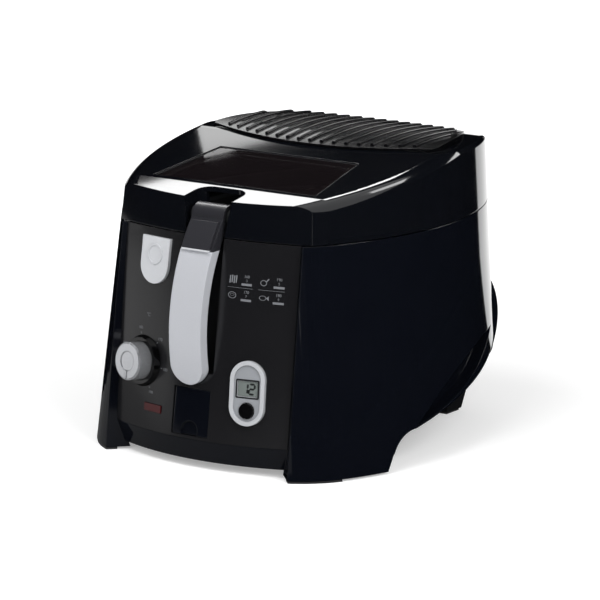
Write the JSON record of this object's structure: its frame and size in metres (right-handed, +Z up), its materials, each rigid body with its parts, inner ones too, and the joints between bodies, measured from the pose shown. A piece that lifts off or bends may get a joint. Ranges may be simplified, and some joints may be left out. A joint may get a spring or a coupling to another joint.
{
  "type": "deep fryer",
  "caption": "Household deep fryer with a tilted bowl, turning lift basket, folding front handle, window lid and vent cover.",
  "frame": {"origin": "middle of the footprint on the table, under the middle of the overall box", "axes": "+X right, -Y front (controls and handle), +Z up"},
  "size_m": [0.297, 0.3271, 0.2483],
  "materials": {
    "shell_black": "high gloss",
    "panel_black": "high gloss",
    "base_black": "fine texture",
    "rubber_grey": "matt",
    "steel": "bright",
    "bowl_coat": "satin non-stick coating",
    "element": "dull",
    "brass": "plain",
    "motor_grey": "plain",
    "zinc": "plain",
    "hose": "smooth",
    "wire_chrome": "bright",
    "silver": "satin silver",
    "glass": "smoked",
    "inner_grey": "fine texture",
    "silicone": "smooth",
    "felt": "needled felt",
    "ring_chrome": "bright",
    "ceramic": "plain",
    "lcd": "grey-green display",
    "key_black": "gloss",
    "board": "plain",
    "lamp_red": "clear red"
  },
  "bodies": {
    "base": {"body_shell": "shell_black", "front_panel": "panel_black", "base_plate": "base_black", "base_screws": "steel", "rear_legs": "base_black", "foot_pads": "rubber_grey", "rear_cover": "shell_black", "cord_bush": "base_black", "top_deck": "base_black", "bowl": "bowl_coat", "heating_element": "element", "thermal_probe": "brass", "shaft_seal": "silicone", "gear_motor": "motor_grey", "motor_bracket": "zinc", "drain_valve": "motor_grey", "drain_hose": "hose", "hose_cap": "base_black", "rod_guides": "base_black", "handle_bracket": "base_black", "handle_pin": "steel", "hinge_pin": "steel", "latch_pin": "steel", "latch_spring": "steel", "knob_ring": "ring_chrome", "thermostat": "ceramic", "timer_bezel": "silver", "timer_lcd": "lcd", "timer_board": "board", "timer_battery": "steel", "lamp_lens": "lamp_red", "lamp_holder": "base_black"},
    "lid": {"lid_shell": "shell_black", "window_glass": "glass", "window_seal": "rubber_grey", "window_clamp": "inner_grey", "lid_inner": "inner_grey", "lid_seal": "silicone", "filter_tray": "inner_grey", "filter_pad": "felt"},
    "vent_cover": {"filter_cover": "shell_black"},
    "handle": {"lift_handle": "silver"},
    "slider": {"handle_slider": "key_black"},
    "carrier": {"basket_carrier": "steel"},
    "basket": {"basket": "wire_chrome"},
    "shaft": {"drive_shaft": "steel"},
    "open_button": {"lid_button": "silver"},
    "latch": {"latch": "zinc"},
    "knob": {"temp_knob": "silver"},
    "timer_key": {"timer_button": "key_black"},
    "door": {"drain_door": "panel_black"}
  },
  "joints": [
    {"name": "lid_hinge", "type": "hinge", "parent": "base", "child": "lid", "pos_m": [0, 0.1575, 0.1895], "axis": [-1, 0, 0], "range_deg": [0, 75]},
    {"name": "vent_cover_lift", "type": "slide", "parent": "lid", "child": "vent_cover", "axis": [0, 0, 1], "range_m": [0, 0.03]},
    {"name": "handle_fold", "type": "hinge", "parent": "base", "child": "handle", "pos_m": [0, -0.12, 0.201], "axis": [-1, 0, 0], "range_deg": [0, 80]},
    {"name": "slider_press", "type": "hinge", "parent": "handle", "child": "slider", "pos_m": [0, -0.0095, 0.108], "axis": [1, 0, 0], "range_deg": [0, 3], "stiffness_Nm_per_rad": 4},
    {"name": "basket_lift", "type": "slide", "parent": "base", "child": "carrier", "axis": [0, -0.342, 0.9397], "range_m": [0, 0.0242]},
    {"name": "basket_spin", "type": "hinge", "parent": "carrier", "child": "basket", "pos_m": [0, 0.039, 0.092], "axis": [0, -0.342, 0.9397], "continuous": true},
    {"name": "shaft_spin", "type": "hinge", "parent": "base", "child": "shaft", "pos_m": [0, 0.039, 0.092], "axis": [0, -0.342, 0.9397], "continuous": true},
    {"name": "button_press", "type": "slide", "parent": "base", "child": "open_button", "axis": [0.1517, 0.9792, -0.1344], "range_m": [0, 0.004], "stiffness_N_per_m": 400},
    {"name": "latch_turn", "type": "hinge", "parent": "base", "child": "latch", "pos_m": [-0.048, -0.12, 0.128], "axis": [-1, 0, 0], "range_deg": [0, 6.2]},
    {"name": "knob_turn", "type": "hinge", "parent": "base", "child": "knob", "pos_m": [-0.0555, -0.14351, 0.079], "axis": [0.217, 0.9681, -0.1252], "range_deg": [0, 270]},
    {"name": "timer_press", "type": "slide", "parent": "base", "child": "timer_key", "axis": [-0.2053, 0.9704, -0.1271], "range_m": [0, 0.001], "stiffness_N_per_m": 400},
    {"name": "door_swing", "type": "hinge", "parent": "base", "child": "door", "pos_m": [-0.01588, -0.15216, 0.04626], "axis": [-0.0098, -0.1409, -0.99], "range_deg": [0, 90]}
  ],
  "couplings": [
    {"joint": "basket_lift", "follows": "handle_fold", "m_per_rad": 0.017189},
    {"joint": "shaft_spin", "follows": "basket_spin", "ratio": 1},
    {"joint": "latch_turn", "follows": "button_press", "rad_per_m": 26}
  ]
}
